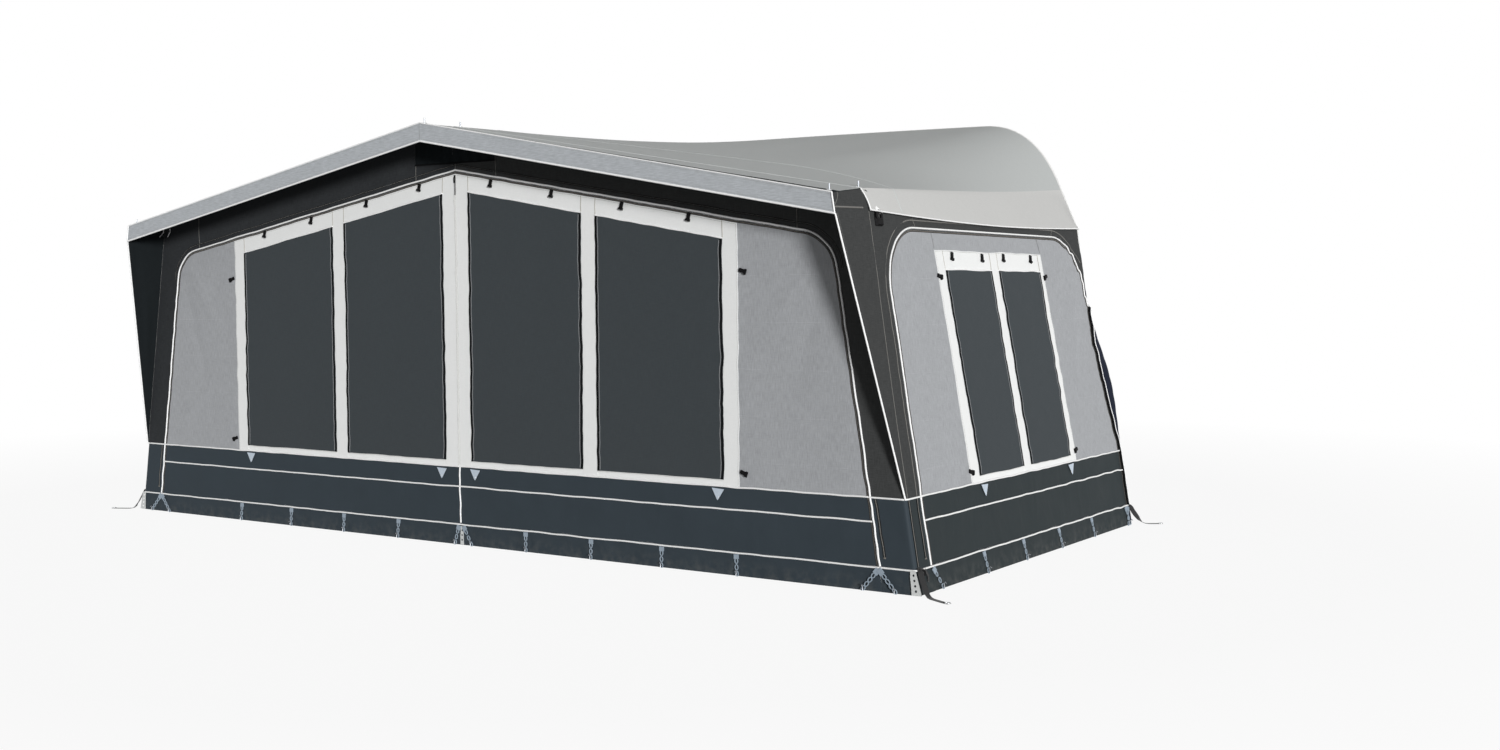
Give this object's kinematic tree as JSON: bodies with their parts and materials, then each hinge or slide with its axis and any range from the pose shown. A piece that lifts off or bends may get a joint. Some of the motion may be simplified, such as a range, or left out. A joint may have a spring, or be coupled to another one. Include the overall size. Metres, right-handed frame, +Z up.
{
  "type": "caravan awning",
  "caption": "Full porch awning that hangs on a caravan's rail: gabled grey cloth tent with an overhang, covered windows, zip-out walls and a telescopic pole frame.",
  "frame": {"origin": "middle of the footprint, on the ground", "axes": "+X to the right along the front wall seen from outside, +Y towards the caravan, +Z up"},
  "size_m": [6.1344, 3.0571, 2.43],
  "materials": {
    "roof_cloth": "matt coated polyester, light grey",
    "fascia_cloth": "matt coated polyester, mid grey heather",
    "charcoal_cloth": "matt coated polyester, charcoal",
    "canopy_cloth": "matt coated polyester, near black",
    "panel_cloth": "matt coated polyester, light grey heather",
    "blind_cloth": "smooth coated polyester, dark slate",
    "clear_foil": "clear window foil",
    "mud_wall_pvc": "satin coated PVC, dark blue grey",
    "draught_pad": "matt quilted, dark navy",
    "bead": "satin white keder bead",
    "steel_tube": "galvanised tube",
    "steel_leg": "bright galvanised tube",
    "knob_plastic": "black nylon",
    "slider_metal": "black painted zip slider",
    "strap_webbing": "black woven webbing"
  },
  "bodies": {
    "tent": {"roof_sheet": "roof_cloth", "rail_bead": "bead", "canopy_sheet": "canopy_cloth", "fascia": "fascia_cloth", "wing_left": "charcoal_cloth", "wing_right": "charcoal_cloth", "front_surround_left": "charcoal_cloth", "front_surround_right": "charcoal_cloth", "side_surround_left": "charcoal_cloth", "side_surround_right": "charcoal_cloth", "front_skirt_left": "mud_wall_pvc", "front_skirt_right": "mud_wall_pvc", "side_skirt_left": "mud_wall_pvc", "side_skirt_right": "mud_wall_pvc", "corner_panel_left": "mud_wall_pvc", "corner_panel_right": "mud_wall_pvc", "rear_pad_left": "draught_pad", "rear_pad_right": "draught_pad", "front_storm_strap_left": "strap_webbing", "front_storm_strap_right": "strap_webbing", "rear_storm_strap_left": "strap_webbing", "rear_storm_strap_right": "strap_webbing", "upright_centre": "steel_tube", "roof_pole_centre": "steel_tube", "canopy_arm_centre": "steel_tube", "upright_left": "steel_tube", "roof_pole_left": "steel_tube", "canopy_arm_left": "steel_tube", "upright_right": "steel_tube", "roof_pole_right": "steel_tube", "canopy_arm_right": "steel_tube", "front_rafter_left": "steel_tube", "canopy_rafter_left": "steel_tube", "front_rafter_right": "steel_tube", "canopy_rafter_right": "steel_tube"},
    "front_door_right": {"front_panel_right": "panel_cloth", "front_foil_right": "clear_foil"},
    "side_door_right": {"side_panel_right": "panel_cloth", "side_foil_right": "clear_foil"},
    "front_blind_inner_right": {"front_blind_inner_right": "blind_cloth"},
    "front_blind_outer_right": {"front_blind_outer_right": "blind_cloth"},
    "side_blind_front_right": {"side_blind_front_right": "blind_cloth"},
    "side_blind_rear_right": {"side_blind_rear_right": "blind_cloth"},
    "front_door_left": {"front_panel_left": "panel_cloth", "front_foil_left": "clear_foil"},
    "side_door_left": {"side_panel_left": "panel_cloth", "side_foil_left": "clear_foil"},
    "front_blind_inner_left": {"front_blind_inner_left": "blind_cloth"},
    "front_blind_outer_left": {"front_blind_outer_left": "blind_cloth"},
    "side_blind_front_left": {"side_blind_front_left": "blind_cloth"},
    "side_blind_rear_left": {"side_blind_rear_left": "blind_cloth"},
    "leg_centre": {"leg_centre": "steel_leg"},
    "clamp_knob_centre": {"clamp_knob_centre": "knob_plastic"},
    "leg_right": {"leg_right": "steel_leg"},
    "clamp_knob_right": {"clamp_knob_right": "knob_plastic"},
    "leg_left": {"leg_left": "steel_leg"},
    "clamp_knob_left": {"clamp_knob_left": "knob_plastic"},
    "front_zip_slider": {"front_zip_slider": "slider_metal"}
  },
  "joints": [
    {"name": "front_panel_swing_right", "type": "hinge", "parent": "tent", "child": "front_door_right", "pos_m": [2.66038, -1.2225, 0.12], "axis": [-0.1614, 0, 0.9869], "range_deg": [0, 90]},
    {"name": "side_panel_swing_right", "type": "hinge", "parent": "tent", "child": "side_door_right", "pos_m": [2.85038, -1.0655, 0.12], "axis": [0.1614, 0, -0.9869], "range_deg": [0, 90]},
    {"name": "front_blind_inner_lift_right", "type": "hinge", "parent": "front_door_right", "child": "front_blind_inner_right", "pos_m": [0.095, -1.2248, 1.94852], "axis": [-0.9853, 0, 0.1709], "range_deg": [0, 85]},
    {"name": "front_blind_outer_lift_right", "type": "hinge", "parent": "front_door_right", "child": "front_blind_outer_right", "pos_m": [0.99, -1.2248, 1.79325], "axis": [-0.9853, 0, 0.1709], "range_deg": [0, 85]},
    {"name": "side_blind_front_lift_right", "type": "hinge", "parent": "side_door_right", "child": "side_blind_front_right", "pos_m": [2.62778, -0.4875, 1.49537], "axis": [0, -1, 0], "range_deg": [0, 85]},
    {"name": "side_blind_rear_lift_right", "type": "hinge", "parent": "side_door_right", "child": "side_blind_rear_right", "pos_m": [2.62778, 0.1325, 1.49537], "axis": [0, -1, 0], "range_deg": [0, 85]},
    {"name": "front_panel_swing_left", "type": "hinge", "parent": "tent", "child": "front_door_left", "pos_m": [-2.66038, -1.2225, 0.12], "axis": [-0.1614, 0, -0.9869], "range_deg": [0, 90]},
    {"name": "side_panel_swing_left", "type": "hinge", "parent": "tent", "child": "side_door_left", "pos_m": [-2.85038, -1.0655, 0.12], "axis": [0.1614, 0, 0.9869], "range_deg": [0, 90]},
    {"name": "front_blind_inner_lift_left", "type": "hinge", "parent": "front_door_left", "child": "front_blind_inner_left", "pos_m": [-0.095, -1.2248, 1.94852], "axis": [-0.9853, 0, -0.1709], "range_deg": [0, 85]},
    {"name": "front_blind_outer_lift_left", "type": "hinge", "parent": "front_door_left", "child": "front_blind_outer_left", "pos_m": [-0.99, -1.2248, 1.79325], "axis": [-0.9853, 0, -0.1709], "range_deg": [0, 85]},
    {"name": "side_blind_front_lift_left", "type": "hinge", "parent": "side_door_left", "child": "side_blind_front_left", "pos_m": [-2.62778, -0.4875, 1.49537], "axis": [0, 1, 0], "range_deg": [0, 85]},
    {"name": "side_blind_rear_lift_left", "type": "hinge", "parent": "side_door_left", "child": "side_blind_rear_left", "pos_m": [-2.62778, 0.1325, 1.49537], "axis": [0, 1, 0], "range_deg": [0, 85]},
    {"name": "leg_slide_centre", "type": "slide", "parent": "tent", "child": "leg_centre", "axis": [0, 0, -1], "range_m": [-0.6, 0.15]},
    {"name": "clamp_knob_turn_centre", "type": "hinge", "parent": "tent", "child": "clamp_knob_centre", "pos_m": [0, -1.1552, 0.925], "axis": [0, 1, 0], "range_deg": [-180, 180]},
    {"name": "leg_slide_right", "type": "slide", "parent": "tent", "child": "leg_right", "axis": [0.1614, 0, -0.9869], "range_m": [-0.45, 0.15]},
    {"name": "clamp_knob_turn_right", "type": "hinge", "parent": "tent", "child": "clamp_knob_right", "pos_m": [2.67921, -1.1552, 0.92467], "axis": [0, 1, 0], "range_deg": [-180, 180]},
    {"name": "leg_slide_left", "type": "slide", "parent": "tent", "child": "leg_left", "axis": [-0.1614, 0, -0.9869], "range_m": [-0.45, 0.15]},
    {"name": "clamp_knob_turn_left", "type": "hinge", "parent": "tent", "child": "clamp_knob_left", "pos_m": [-2.67921, -1.1552, 0.92467], "axis": [0, 1, 0], "range_deg": [-180, 180]},
    {"name": "front_zip_run", "type": "slide", "parent": "front_door_right", "child": "front_zip_slider", "axis": [0, 0, -1], "range_m": [0, 1.85]}
  ]
}
